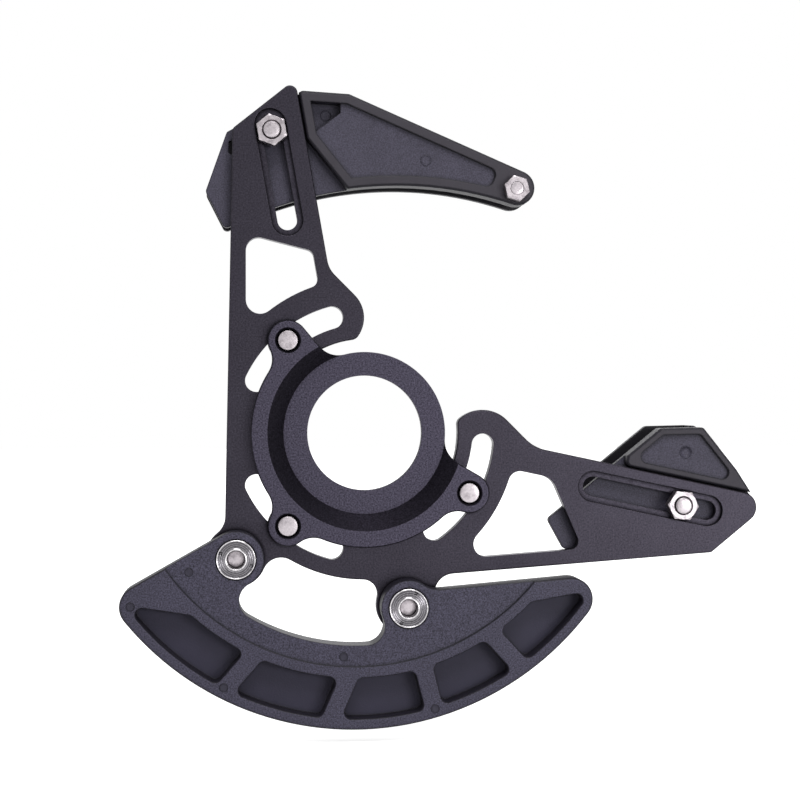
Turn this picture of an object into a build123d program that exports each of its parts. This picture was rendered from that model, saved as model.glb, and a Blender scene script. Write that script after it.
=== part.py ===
"""Bicycle chain guide for a bottom-bracket shell, with a bash guard and two sliding guides.

The origin is on the bottom-bracket axis, in the plane of the backplate's frame-side face.
+X points to the rear of the bicycle, +Z up, and +Y away from the frame, towards the chainring.
All sizes are in millimetres. A depth is a place along Y, and a point is an (x, z) pair.
"""
import os
from math import atan2, cos, degrees, hypot, radians, sin, sqrt

from build123d import *

os.makedirs("parts", exist_ok=True)

# Bottom-bracket adapter: a dished clamp ring with three threaded lugs
bore_radius = 17.5
ring_radius = 24.7
ring_thickness = 2.5
cone_width = 5.0
flange_width = 5.0
flange_thickness = 2.5
lug_spacing = 56.0
lug_step = 100.0
lug_angle = 130.0
lug_radius = 6.1
lug_height = 5.0
lug_neck_radius = 7.0
ring_neck_radius = 8.0
lug_countersink = 0.9
flange_edge_round = 0.6

# Clocking bolts and washers, which hold the backplate to the lugs
clocking_bolt_diameter = 6.0
clocking_head_diameter = 10.5
clocking_head_height = 3.3
clocking_socket = 4.0
clocking_washer_diameter = 12.0
clocking_washer_thickness = 1.2
clocking_slot_clearance = 0.42
clocking_slot_sweep = 48.4

# Backplate
plate_thickness = 4.0
plate_bevel = 0.35
cutout_clearance = 0.2
cutout_corner_radius = 2.5
rim_radius = 44.8
upper_lobe_reach = 1.9
rear_lobe_reach = 2.8
left_edge_x = -40.1
left_edge_lean = 1.1
left_edge_top = 92.4
left_corner_radius = 1.6
upper_tip_rise = 38.8
upper_tip_radius = 2.3
upper_arm_lean = 10.1
upper_arm_margin = 9.85
upper_bend_radius = 8.0
lower_arm_drop = 12.05
lower_arm_margin = 8.0
lower_bend_radius = 12.0
lower_tip_radius = 4.8
lower_tip_slope = 39.0
lower_corner = (108.3, -37.45)
lower_corner_radius = 1.8
bottom_edge_slope = 4.1
boss_circle_radius = 54.2
boss_angles = (-136.1, -76.4)
boss_lobe_radius = 9.2
left_neck_radius = 5.6
right_neck_radius = 4.6
edge_neck_radius = 6.5
bottom_neck_radius = 6.0

# Windows that lighten the backplate
upper_window_side = 4.0
upper_window_top = 60.5
upper_window_top_slope = -14.1
upper_window_rim = 2.4
upper_window_inset = 3.9
upper_window_radii = (3.9, 2.7, 2.7, 4.3)
lower_window_rim = 2.0
lower_window_top_margin = 8.0
lower_window_right = (57.9, -13.9)
lower_window_right_slope = -66.5
lower_window_bottom_margin = 4.4
lower_window_radii = (3.6, 6.0, 2.7, 3.9)

# Slots that the guides slide in, with a shallow recess for the nut
upper_slot_top = (-28.7, 93.8)
upper_slot_length = 29.5
lower_slot_left = (70.9, -16.7)
lower_slot_length = 36.9
guide_slot_clearance = 0.5
nut_recess_clearance = 0.6
nut_recess_depth = 1.2

# Guide fasteners
guide_bolt_diameter = 5.0
guide_nut_flats = 8.5
guide_nut_height = 4.0
lower_nut_turn = 8.0
guide_head_diameter = 9.5
guide_head_height = 2.75
guide_socket = 3.0
guide_washer_diameter = 11.0
guide_washer_thickness = 1.0
tip_bolt_diameter = 4.0
tip_nut_flats = 7.0
tip_nut_height = 3.2
tip_nut_turn = 7.4
tip_head_diameter = 7.6
tip_head_height = 2.2
tip_socket = 2.5
tip_spacer_radius = 3.6
thread_clearance = 0.05
bolt_hole_clearance = 0.25
bolt_end_proud = 0.8

# Both guides: an inner and an outer moulding with the chain between them
guide_base_thickness = 2.5
channel_width = 8.0
guide_outer_thickness = 3.0
spine_wall = 2.5
guide_boss_radius = 5.5
arm_gap = 0.4
panel_rim = 3.0
panel_depth = 1.0
guide_edge_round = 0.6

# Upper guide, with its points measured from its clamp bolt
upper_bolt_setback = 2.1
upper_tip_from_bolt = (75.53, -16.33)
upper_tip_round = 5.35
tip_bolt_from_tip = (-0.6, -0.5)
upper_mouth_from_bolt = (39.53, -129.73)
upper_mouth_start = 118.2
upper_left_top_from_bolt = (-13.57, 0.07)
upper_left_from_bolt = (-20.0, -18.13)
upper_crest_from_bolt = (23.64, 11.67)
upper_crest_left_from_bolt = (9.34, 12.47)
upper_corner_radius = 1.5
upper_notch_drop = 18.6
upper_notch_slope = -51.0
upper_pocket_reach = 13.9
upper_pocket_width = 9.2
upper_pocket_slope = 37.5
upper_pocket_depth = 4.5
upper_panel_end = 7.6
upper_panel_end_radius = 2.4
upper_spine_end = 9.0
upper_slit_from_bolt = (-12.2, -4.6)
upper_slit_width = 1.5
upper_slit_length = 2.6

# Lower guide, with its points measured from its clamp bolt
lower_bolt_setback = 8.5
lower_left_from_bolt = (-41.47, -4.37)
lower_mouth_slope = 38.8
lower_mouth_top_rise = 23.83
lower_crest_from_bolt = (7.13, 24.13)
lower_right_knee_from_bolt = (17.73, 10.93)
lower_right_from_bolt = (23.5, 2.1)
lower_hidden_right_from_bolt = (19.6, -3.37)
lower_hidden_corner_from_bolt = (7.13, -11.37)
lower_foot_from_bolt = (-36.27, -13.77)
lower_corner_round = 1.5
lower_panel_rim = 2.0
lower_panel_round = 2.2
lower_cage_start = 8.7
lower_cage_round = 1.8
lower_outer_lead = 32.0
lower_outer_lip = 0.5
lower_cover_shift = 1.2

# Bash guard: a moulded arc with pockets between ribs
bash_thickness = 9.0
bash_step = 0.8
bash_centre = (-2.65, 0.1)
bash_reach = 34.8
bash_band_width = 25.2
bash_step_width = 18.9
bash_boss_radius = 8.3
bash_end_radius = 6.6
bash_left_end_angle = -141.3
bash_shoulder_rise = 4.6
bash_notch_radius = 5.6
bash_shoulder_radius = 7.5
bash_edge_slope = 4.8
bash_edge_round = 0.8
pocket_rim = 3.3
pocket_width = 12.2
pocket_depth = 6.0
pocket_corner_radius = 2.0
pocket_lip_round = 0.5
pocket_left_drop = 18.6
pocket_left_slope = -9.2
pocket_right_drop = 5.15
pocket_right_slope = 10.0
rib_width = 5.7
rib_angles = ((-115.15, -117.55), (-92.2, -95.4), (-74.3, -74.5), (-56.4, -55.1))

# Bash guard fasteners
bash_bolt_diameter = 5.0
bash_head_diameter = 9.5
bash_head_height = 2.75
bash_socket = 3.0
bash_nut_flange_diameter = 11.7
bash_nut_flange_thickness = 1.4
bash_nut_barrel_diameter = 7.0
bash_nut_barrel_length = 6.0
bash_nut_seat_depth = 0.9
bash_nut_pin_diameter = 0.9
bash_nut_pin_depth = 0.8
bash_nut_pin_inset = 0.9
bash_nut_pin_angles = (158.0, 64.0)
bash_bolt_end_depth = 2.6

# Places that follow from the sizes
depth_lug = -lug_height
depth_base = plate_thickness
depth_channel = depth_base + guide_base_thickness
depth_outer = depth_channel + channel_width
depth_back = depth_outer + guide_outer_thickness
far_away = 200.0


def plane_at(depth):
    """Sketch plane across the bottom-bracket axis, facing the frame side."""
    return Plane.XZ.offset(-depth)


def polar(radius, angle, centre=(0.0, 0.0)):
    """Point at a radius and an angle in degrees about a centre."""
    return (centre[0] + radius * cos(radians(angle)), centre[1] + radius * sin(radians(angle)))


def beside(point, step):
    """Point at an (x, z) step from another."""
    return (point[0] + step[0], point[1] + step[1])


def meet(first, first_angle, second, second_angle):
    """Point where two lines cross, each given by a point and an angle in degrees."""
    ax, az = cos(radians(first_angle)), sin(radians(first_angle))
    bx, bz = cos(radians(second_angle)), sin(radians(second_angle))
    dx, dz = second[0] - first[0], second[1] - first[1]
    reach = (dx * bz - dz * bx) / (ax * bz - az * bx)
    return (first[0] + reach * ax, first[1] + reach * az)


def circles_meet(first, first_radius, second, second_radius, side):
    """Point where two circles cross, on the left (1) or right (-1) of the line of centres."""
    dx, dz = second[0] - first[0], second[1] - first[1]
    span = hypot(dx, dz)
    reach = (span**2 + first_radius**2 - second_radius**2) / (2 * span)
    height = side * sqrt(first_radius**2 - reach**2)
    return (first[0] + (reach * dx - height * dz) / span, first[1] + (reach * dz + height * dx) / span)


def line_meets_circle(point, angle, centre, radius, side):
    """Point where a line crosses a circle, the far (1) or near (-1) one along the line."""
    ax, az = cos(radians(angle)), sin(radians(angle))
    along = (centre[0] - point[0]) * ax + (centre[1] - point[1]) * az
    across = (centre[1] - point[1]) * ax - (centre[0] - point[0]) * az
    reach = along + side * sqrt(radius**2 - across**2)
    return (point[0] + reach * ax, point[1] + reach * az)


def tangent_point(point, centre, radius, side):
    """Point where a line from outside touches a circle, on the left (1) or right (-1) of it."""
    span = hypot(point[0] - centre[0], point[1] - centre[1])
    middle = ((point[0] + centre[0]) / 2, (point[1] + centre[1]) / 2)
    return circles_meet(centre, radius, middle, span / 2, side)


def sector(centre, radius, start, end):
    """Corners of a slice that reaches past a circle, anticlockwise between two angles."""
    step = (end - start) / 4
    return [centre] + [polar(2 * radius, start + count * step, centre) for count in range(5)]


def round_corners(sketch, points, radius):
    """Rounds the corners of the open sketch that lie nearest to the given points."""
    for point in points:
        fillet(sketch.vertices().sort_by_distance((point[0], point[1], 0)).first, radius)


def slab(profile, near, far, mode=Mode.ADD):
    """Adds or cuts a flat profile between two depths of the open part."""
    with BuildSketch(plane_at(far)) as face:
        add(profile)
    extrude(face.sketch, amount=far - near, mode=mode)


def disc(radius, places):
    """Circles of one radius at the given points, as a profile."""
    with BuildSketch() as circles:
        with Locations(*places):
            Circle(radius)
    return circles.sketch


def keep(builder, name):
    """Labels a finished piece and writes it."""
    builder.part.label = name
    export_step(builder.part, f"parts/{name}.step")


# Sizes of the dish, and of the cut-out that its cone passes through
cone_radius = ring_radius + cone_width
flange_radius = cone_radius + flange_width
cone_rise = lug_height - flange_thickness
cone_at_plate = cone_radius - cone_width * cone_rise / (cone_rise + ring_thickness)
cutout_radius = cone_at_plate + flange_thickness / 2 + cutout_clearance

# Points shared by several pieces
axis_point = (0.0, 0.0)
lug_circle_radius = lug_spacing / 2 / sin(radians(lug_step / 2))
lug_angles = [lug_angle + turn * lug_step for turn in range(3)]
lugs = [polar(lug_circle_radius, angle) for angle in lug_angles]
bosses = [polar(boss_circle_radius, angle) for angle in boss_angles]
upper_slot_angle = upper_arm_lean - 90.0
upper_bolt = polar(upper_bolt_setback, upper_slot_angle, upper_slot_top)
lower_slot_right = polar(lower_slot_length, -lower_arm_drop, lower_slot_left)
lower_bolt = polar(-lower_bolt_setback, -lower_arm_drop, lower_slot_right)
upper_edge_point = polar(upper_arm_margin, upper_slot_angle + 90, upper_slot_top)
lower_edge_point = polar(lower_arm_margin, 90 - lower_arm_drop, lower_slot_left)
guide_slot_width = guide_bolt_diameter + 2 * guide_slot_clearance
nut_recess_width = guide_nut_flats + 2 * nut_recess_clearance
clocking_slot_width = clocking_bolt_diameter + 2 * clocking_slot_clearance


# Adapter: the ring sits inside the backplate, and a cone joins it to the raised flange
with BuildSketch() as adapter_outline:
    Circle(flange_radius)
    Polygon(*sector(axis_point, flange_radius, lug_angles[2] - 360, lug_angles[0]), mode=Mode.SUBTRACT)
    Circle(ring_radius)
    necks = []
    for lug, angle in zip(lugs, lug_angles):
        with Locations(lug):
            Circle(lug_radius)
        with Locations(Location((lug[0] / 2, lug[1] / 2), angle)):
            Rectangle(lug_circle_radius, 2 * lug_radius)
    for lug, side in ((lugs[0], 1), (lugs[1], 1), (lugs[1], -1), (lugs[2], -1)):
        neck_reach = flange_radius + lug_neck_radius
        centre = circles_meet(axis_point, neck_reach, lug, lug_radius + lug_neck_radius, side)
        Polygon(axis_point, lug, centre)
        necks.append((centre, lug_neck_radius))
    for lug, angle, side in ((lugs[0], lug_angles[0], -1), (lugs[2], lug_angles[2], 1)):
        across = lug_radius + ring_neck_radius
        along = sqrt((ring_radius + ring_neck_radius) ** 2 - across**2)
        foot = polar(along, angle)
        centre = polar(side * across, angle + 90, foot)
        Polygon(axis_point, foot, centre)
        necks.append((centre, ring_neck_radius))
    for centre, radius in necks:
        with Locations(centre):
            Circle(radius, mode=Mode.SUBTRACT)

with BuildPart() as bb_adapter:
    slab(adapter_outline.sketch, depth_lug, ring_thickness)
    with BuildSketch(Plane.XY) as section:
        with BuildLine():
            Polyline(
                (bore_radius, 0),
                (ring_radius, 0),
                (cone_radius, depth_lug),
                (2 * flange_radius, depth_lug),
                (2 * flange_radius, depth_lug + flange_thickness),
                (cone_radius + flange_thickness / 2, depth_lug + flange_thickness),
                (ring_radius + flange_thickness / 2, ring_thickness),
                (bore_radius, ring_thickness),
                close=True,
            )
        make_face()
    revolve(section.sketch, axis=Axis.Y, mode=Mode.INTERSECT)
    slab(disc(lug_radius, lugs), depth_lug, 0)
    brim = bb_adapter.faces().sort_by(Axis.Y)[0].outer_wire().edges()
    brim_start = (cone_radius + flange_radius) / 2
    outer_brim = brim.filter_by(lambda edge: hypot((edge @ 0.5).X, (edge @ 0.5).Z) > brim_start)
    fillet(outer_brim, flange_edge_round)
    slab(disc(clocking_bolt_diameter / 2 + thread_clearance, lugs), depth_lug, 0, Mode.SUBTRACT)
    rims = bb_adapter.faces().sort_by(Axis.Y)[0].edges().filter_by(GeomType.CIRCLE)
    chamfer(rims.filter_by(lambda rim: rim.radius < clocking_bolt_diameter), lug_countersink)
keep(bb_adapter, "bb_adapter")


# Backplate: two arms, two slotted lobes and two boss lobes about the bottom-bracket cut-out
slot_starts = [angle - clocking_slot_sweep / 2 for angle in lug_angles]
lobe_band = lug_circle_radius - cutout_radius
upper_lobe_radius = lobe_band + upper_lobe_reach
rear_lobe_radius = lobe_band + rear_lobe_reach
lobe_upper = polar(lug_circle_radius, slot_starts[0])
lobe_rear = polar(lug_circle_radius, slot_starts[2] + clocking_slot_sweep)
left_edge_angle = 90.0 - left_edge_lean
left_top = (left_edge_x, left_edge_top)
left_foot = meet(left_top, left_edge_angle, bosses[0], 0)
upper_corner = meet(left_top, upper_tip_rise, upper_edge_point, upper_slot_angle)
upper_touch = polar(upper_lobe_radius, 45, lobe_upper)
upper_bend = meet(upper_edge_point, upper_slot_angle, upper_touch, -45)
rear_touch = polar(rear_lobe_radius, 45, lobe_rear)
rear_bend = meet(lower_edge_point, -lower_arm_drop, rear_touch, -45)
rear_tip = meet(lower_edge_point, -lower_arm_drop, lower_corner, lower_tip_slope)
bottom_foot = meet(lower_corner, bottom_edge_slope, bosses[1], 90)

with BuildSketch() as plate_outline:
    Circle(rim_radius)
    open_start = slot_starts[2] + clocking_slot_sweep - 360
    Polygon(*sector(axis_point, rim_radius, open_start, slot_starts[0]), mode=Mode.SUBTRACT)
    Polygon(left_top, left_foot, (-far_away, left_foot[1]), (-far_away, left_top[1]), mode=Mode.SUBTRACT)
    Polygon(left_foot, left_top, upper_corner, upper_bend, upper_touch, lobe_upper, axis_point, bosses[0])
    Polygon(lobe_rear, rear_touch, rear_bend, rear_tip, lower_corner, bottom_foot, bosses[1], axis_point)
    with Locations(lobe_upper):
        Circle(upper_lobe_radius)
    with Locations(lobe_rear):
        Circle(rear_lobe_radius)
    with Locations(*bosses):
        Circle(boss_lobe_radius)
    necks = []
    for boss, side, radius in ((bosses[0], 1, left_neck_radius), (bosses[1], -1, right_neck_radius)):
        centre = circles_meet(axis_point, rim_radius + radius, boss, boss_lobe_radius + radius, side)
        Polygon(axis_point, boss, centre)
        necks.append((centre, radius))
    beside_left = polar(edge_neck_radius, left_edge_angle + 90, left_foot)
    edge_reach = boss_lobe_radius + edge_neck_radius
    centre = line_meets_circle(beside_left, left_edge_angle, bosses[0], edge_reach, 1)
    Polygon(bosses[0], centre, polar(-edge_neck_radius, left_edge_angle + 90, centre), left_foot)
    necks.append((centre, edge_neck_radius))
    below_bottom = polar(bottom_neck_radius, bottom_edge_slope - 90, bottom_foot)
    bottom_reach = boss_lobe_radius + bottom_neck_radius
    centre = line_meets_circle(below_bottom, bottom_edge_slope, bosses[1], bottom_reach, 1)
    Polygon(bosses[1], centre, polar(-bottom_neck_radius, bottom_edge_slope - 90, centre), bottom_foot)
    necks.append((centre, bottom_neck_radius))
    for centre, radius in necks:
        with Locations(centre):
            Circle(radius, mode=Mode.SUBTRACT)
    Circle(cutout_radius, mode=Mode.SUBTRACT)
    round_corners(plate_outline, [left_top], left_corner_radius)
    round_corners(plate_outline, [upper_corner], upper_tip_radius)
    round_corners(plate_outline, [upper_bend], upper_bend_radius)
    round_corners(plate_outline, [rear_bend], lower_bend_radius)
    round_corners(plate_outline, [rear_tip], lower_tip_radius)
    round_corners(plate_outline, [lower_corner], lower_corner_radius)
    lobe_ends = [
        circles_meet(axis_point, cutout_radius, lobe_upper, upper_lobe_radius, -1),
        circles_meet(axis_point, cutout_radius, lobe_rear, rear_lobe_radius, 1),
    ]
    round_corners(plate_outline, lobe_ends, cutout_corner_radius)

upper_window_radius = rim_radius + upper_window_rim
upper_window_left = (left_edge_x + upper_window_side, upper_window_top)
inner_edge_point = polar(-upper_window_inset, upper_slot_angle + 90, upper_edge_point)
upper_window_right = meet(upper_window_left, upper_window_top_slope, inner_edge_point, upper_slot_angle)
upper_window_corners = [
    upper_window_left,
    upper_window_right,
    line_meets_circle(upper_window_right, upper_slot_angle, axis_point, upper_window_radius, -1),
    line_meets_circle(upper_window_left, -90, axis_point, upper_window_radius, -1),
]
with BuildSketch() as upper_window:
    Polygon(*upper_window_corners)
    Circle(upper_window_radius, mode=Mode.SUBTRACT)
    for window_corner, corner_radius in zip(upper_window_corners, upper_window_radii):
        round_corners(upper_window, [window_corner], corner_radius)

lower_window_radius = rim_radius + lower_window_rim
below_arm_edge = polar(-lower_window_top_margin, 90 - lower_arm_drop, lower_edge_point)
above_bottom = polar(lower_window_bottom_margin, 90 + bottom_edge_slope, lower_corner)
lower_window_top = meet(below_arm_edge, -lower_arm_drop, lower_window_right, lower_window_right_slope)
lower_window_foot = meet(above_bottom, bottom_edge_slope, lower_window_right, lower_window_right_slope)
lower_window_corners = [
    line_meets_circle(below_arm_edge, -lower_arm_drop, axis_point, lower_window_radius, 1),
    lower_window_top,
    lower_window_foot,
    line_meets_circle(above_bottom, bottom_edge_slope, axis_point, lower_window_radius, 1),
]
with BuildSketch() as lower_window:
    Polygon(*lower_window_corners)
    Circle(lower_window_radius, mode=Mode.SUBTRACT)
    for window_corner, corner_radius in zip(lower_window_corners, lower_window_radii):
        round_corners(lower_window, [window_corner], corner_radius)


def guide_slots(width):
    """Both straight guide slots at one width, as a profile."""
    with BuildSketch() as slots:
        for start, angle, length in (
            (upper_slot_top, upper_slot_angle, upper_slot_length),
            (lower_slot_left, -lower_arm_drop, lower_slot_length),
        ):
            middle = polar(length / 2, angle, start)
            with Locations(Location(middle, angle)):
                SlotCenterToCenter(length, width)
    return slots.sketch


with BuildSketch() as clocking_slots:
    for start in slot_starts:
        path = CenterArc(axis_point, lug_circle_radius, start, clocking_slot_sweep, mode=Mode.PRIVATE)
        SlotArc(path, clocking_slot_width)

with BuildPart() as backplate:
    slab(plate_outline.sketch, 0, plate_thickness)
    for face in (backplate.faces().sort_by(Axis.Y)[0], backplate.faces().sort_by(Axis.Y)[-1]):
        chamfer(face.outer_wire().edges(), plate_bevel)
    slab(upper_window.sketch, 0, plate_thickness, Mode.SUBTRACT)
    slab(lower_window.sketch, 0, plate_thickness, Mode.SUBTRACT)
    slab(clocking_slots.sketch, 0, plate_thickness, Mode.SUBTRACT)
    slab(guide_slots(guide_slot_width), 0, plate_thickness, Mode.SUBTRACT)
    slab(guide_slots(nut_recess_width), 0, nut_recess_depth, Mode.SUBTRACT)
    slab(disc(bash_bolt_diameter / 2 + bolt_hole_clearance, bosses), 0, plate_thickness, Mode.SUBTRACT)

# The plate is written as its hub and its two arms, which meet face to face across the windows
upper_cut = upper_window.sketch.bounding_box().center().Y
lower_cut = lower_window.sketch.bounding_box().center().X
with BuildSketch() as upper_span:
    Polygon((-far_away, upper_cut), (far_away, upper_cut), (far_away, far_away), (-far_away, far_away))
with BuildSketch() as lower_span:
    Polygon((lower_cut, -far_away), (far_away, -far_away), (far_away, upper_cut), (lower_cut, upper_cut))
with BuildPart() as backplate_hub:
    add(backplate.part)
    slab(upper_span.sketch, 0, plate_thickness, Mode.SUBTRACT)
    slab(lower_span.sketch, 0, plate_thickness, Mode.SUBTRACT)
keep(backplate_hub, "backplate_hub")
with BuildPart() as backplate_upper_arm:
    add(backplate.part)
    slab(upper_span.sketch, 0, plate_thickness, Mode.INTERSECT)
keep(backplate_upper_arm, "backplate_upper_arm")
with BuildPart() as backplate_lower_arm:
    add(backplate.part)
    slab(lower_span.sketch, 0, plate_thickness, Mode.INTERSECT)
keep(backplate_lower_arm, "backplate_lower_arm")


# Bash guard: an arc-shaped moulding on the frame side, hung from the two boss lobes
bash_outer_radius = boss_circle_radius + bash_reach
bash_inner_radius = bash_outer_radius - bash_band_width
bash_middle_radius = (bash_inner_radius + bash_outer_radius) / 2
right_normal = bash_edge_slope + 90
shoulder_foot = (bosses[1][0], bosses[1][1] + bash_shoulder_rise)
below_shoulder = polar(-bash_end_radius, right_normal, shoulder_foot)
end_reach = bash_outer_radius - bash_end_radius
bash_ends = [
    polar(end_reach, bash_left_end_angle, bash_centre),
    line_meets_circle(below_shoulder, bash_edge_slope, bash_centre, end_reach, 1),
]
notch_reach = bash_inner_radius - bash_notch_radius
notch_span = bash_boss_radius + bash_notch_radius
bash_notches = [
    circles_meet(bash_centre, notch_reach, bosses[0], notch_span, 1),
    circles_meet(bash_centre, notch_reach, bosses[1], notch_span, -1),
]


def bearing(point, centre):
    """Angle in degrees at which a point is seen from a centre."""
    return degrees(atan2(point[1] - centre[1], point[0] - centre[0]))


def web_foot(notch):
    """Point of the band's middle line straight out from a notch's centre."""
    return polar(bash_middle_radius, bearing(notch, bash_centre), bash_centre)


left_span = hypot(bosses[0][0] - bash_ends[0][0], bosses[0][1] - bash_ends[0][1])
left_heading = bearing(bosses[0], bash_ends[0])
left_taper = degrees(atan2(bash_boss_radius - bash_end_radius, left_span))
left_normal = left_heading + left_taper + 90
right_shoulder = polar(bash_end_radius, right_normal, bash_ends[1])
shoulder_line = polar(bash_shoulder_radius, right_normal, right_shoulder)
shoulder_centre = line_meets_circle(
    shoulder_line, bash_edge_slope + 180, bosses[1], bash_boss_radius + bash_shoulder_radius, -1
)
with BuildSketch() as bash_outline:
    with Locations(bash_centre):
        Circle(bash_outer_radius)
        Circle(bash_inner_radius, mode=Mode.SUBTRACT)
    gap_start = bearing(bash_ends[1], bash_centre)
    gap_end = bash_left_end_angle + 360
    Polygon(*sector(bash_centre, bash_outer_radius, gap_start, gap_end), mode=Mode.SUBTRACT)
    Polygon(
        shoulder_foot,
        polar(far_away, bash_edge_slope, shoulder_foot),
        (far_away, far_away),
        (shoulder_foot[0], far_away),
        mode=Mode.SUBTRACT,
    )
    Polygon(
        bosses[0],
        polar(bash_boss_radius, left_normal, bosses[0]),
        polar(bash_end_radius, left_normal, bash_ends[0]),
        bash_ends[0],
        web_foot(bash_notches[0]),
        bash_notches[0],
    )
    Polygon(
        bosses[1],
        bash_notches[1],
        web_foot(bash_notches[1]),
        bash_ends[1],
        right_shoulder,
        shoulder_foot,
    )
    shoulder_touch = polar(-bash_shoulder_radius, right_normal, shoulder_centre)
    Polygon(bosses[1], shoulder_foot, shoulder_touch, shoulder_centre)
    with Locations(*bash_ends):
        Circle(bash_end_radius)
    with Locations(*bosses):
        Circle(bash_boss_radius)
    with Locations(*bash_notches):
        Circle(bash_notch_radius, mode=Mode.SUBTRACT)
    with Locations(shoulder_centre):
        Circle(bash_shoulder_radius, mode=Mode.SUBTRACT)

pocket_outer_radius = bash_outer_radius - pocket_rim
pocket_inner_radius = pocket_outer_radius - pocket_width
left_pocket_line = (bosses[0][0], bosses[0][1] - pocket_left_drop)
right_pocket_line = polar(-pocket_right_drop, right_normal, right_shoulder)
with BuildSketch() as bash_pockets:
    with Locations(bash_centre):
        Circle(pocket_outer_radius)
        Circle(pocket_inner_radius, mode=Mode.SUBTRACT)
    Polygon(
        polar(-far_away, pocket_left_slope, left_pocket_line),
        meet(left_pocket_line, pocket_left_slope, bash_centre, 90),
        meet(right_pocket_line, pocket_right_slope, bash_centre, 90),
        polar(far_away, pocket_right_slope, right_pocket_line),
        (far_away, -far_away),
        (-far_away, -far_away),
        mode=Mode.INTERSECT,
    )
    for inner_angle, outer_angle in rib_angles:
        inner_end = polar(pocket_inner_radius, inner_angle, bash_centre)
        outer_end = polar(pocket_outer_radius, outer_angle, bash_centre)
        middle = ((inner_end[0] + outer_end[0]) / 2, (inner_end[1] + outer_end[1]) / 2)
        with Locations(Location(middle, bearing(outer_end, inner_end))):
            Rectangle(2 * (pocket_outer_radius - pocket_inner_radius), rib_width, mode=Mode.SUBTRACT)
    fillet(bash_pockets.vertices(), pocket_corner_radius)

depth_bash = -bash_thickness
depth_bash_boss = depth_bash + bash_step
with BuildPart() as bash_guard:
    slab(bash_outline.sketch, depth_bash, 0)
    fillet(bash_guard.faces().sort_by(Axis.Y)[0].outer_wire().edges(), bash_edge_round)
    step_radius = bash_outer_radius - bash_step_width
    slab(disc(step_radius, [bash_centre]), depth_bash, depth_bash_boss, Mode.SUBTRACT)
    slab(bash_pockets.sketch, depth_bash, depth_bash + pocket_depth, Mode.SUBTRACT)
    for pocket in bash_guard.faces().sort_by(Axis.Y)[0].inner_wires():
        fillet(pocket.edges(), pocket_lip_round)
    slab(
        disc(bash_nut_flange_diameter / 2 + bolt_hole_clearance, bosses),
        depth_bash_boss,
        depth_bash_boss + bash_nut_seat_depth,
        Mode.SUBTRACT,
    )
    slab(disc(bash_nut_barrel_diameter / 2 + bolt_hole_clearance, bosses), depth_bash, 0, Mode.SUBTRACT)
keep(bash_guard, "bash_guard")


# Upper guide outline: the mouth is an arc that faces the chainring and runs into the tip
upper_tip = beside(upper_bolt, upper_tip_from_bolt)
upper_mouth_centre = beside(upper_bolt, upper_mouth_from_bolt)
upper_left_top = beside(upper_bolt, upper_left_top_from_bolt)
upper_left = beside(upper_bolt, upper_left_from_bolt)
upper_crest = beside(upper_bolt, upper_crest_from_bolt)
upper_crest_left = beside(upper_bolt, upper_crest_left_from_bolt)
upper_mouth_span = hypot(upper_tip[0] - upper_mouth_centre[0], upper_tip[1] - upper_mouth_centre[1])
upper_mouth_radius = upper_mouth_span - upper_tip_round
upper_left_foot = polar(upper_mouth_radius, upper_mouth_start, upper_mouth_centre)
upper_slope_touch = tangent_point(upper_crest, upper_tip, upper_tip_round, -1)
with BuildSketch() as upper_outline:
    Polygon(
        upper_left_top,
        upper_left,
        upper_left_foot,
        upper_mouth_centre,
        upper_tip,
        upper_slope_touch,
        upper_crest,
        upper_crest_left,
    )
    with Locations(upper_mouth_centre):
        Circle(upper_mouth_radius, mode=Mode.SUBTRACT)
    with Locations(upper_tip):
        Circle(upper_tip_round)
    upper_corners = [upper_left_top, upper_left, upper_left_foot, upper_crest, upper_crest_left]
    round_corners(upper_outline, upper_corners, upper_corner_radius)

# The cage stands beside the arm, level with its face
beside_arm = polar(arm_gap, upper_slot_angle + 90, upper_edge_point)
arm_top = meet(beside_arm, upper_slot_angle, upper_crest_left, 0)
notch_top = meet(beside_arm, upper_slot_angle, upper_corner, 0)
upper_notch = polar(upper_notch_drop - arm_gap, upper_slot_angle, notch_top)
with BuildSketch() as upper_cage:
    add(upper_outline.sketch)
    Polygon(
        polar(-far_away, upper_slot_angle, arm_top),
        upper_notch,
        polar(far_away, upper_notch_slope, upper_notch),
        (-far_away, -far_away),
        (-far_away, far_away),
        mode=Mode.SUBTRACT,
    )

upper_slope_angle = bearing(upper_slope_touch, upper_crest)
panel_stop = polar(-upper_panel_end, upper_slope_angle, upper_tip)
with BuildSketch() as upper_panel:
    add(upper_cage.sketch)
    offset(amount=-panel_rim)
    Polygon(
        polar(far_away, upper_slope_angle + 90, panel_stop),
        polar(-far_away, upper_slope_angle + 90, panel_stop),
        polar(2 * far_away, upper_slope_angle, panel_stop),
        mode=Mode.SUBTRACT,
    )
    fillet(upper_panel.vertices().sort_by(Axis.X)[-2:], upper_panel_end_radius)

upper_tip_bolt_place = beside(upper_tip, tip_bolt_from_tip)
upper_slit = beside(upper_bolt, upper_slit_from_bolt)
with BuildSketch() as upper_slit_outline:
    with Locations(Location(upper_slit, left_edge_angle)):
        SlotCenterToCenter(upper_slit_length, upper_slit_width)
pocket_corner = polar(panel_rim, upper_slot_angle, polar(panel_rim, 0, arm_top))
pocket_line = polar(upper_pocket_reach, 0, pocket_corner)
with BuildSketch() as upper_pocket:
    add(upper_panel.sketch)
    Polygon(
        polar(far_away, upper_pocket_slope, pocket_line),
        polar(-far_away, upper_pocket_slope, pocket_line),
        polar(2 * far_away, upper_pocket_slope - 90, pocket_line),
        mode=Mode.SUBTRACT,
    )
    pocket_end = polar(upper_pocket_width, 0, pocket_corner)
    Polygon(
        (pocket_end[0], far_away),
        (pocket_end[0], -far_away),
        (2 * far_away, pocket_end[1]),
        mode=Mode.SUBTRACT,
    )

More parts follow.
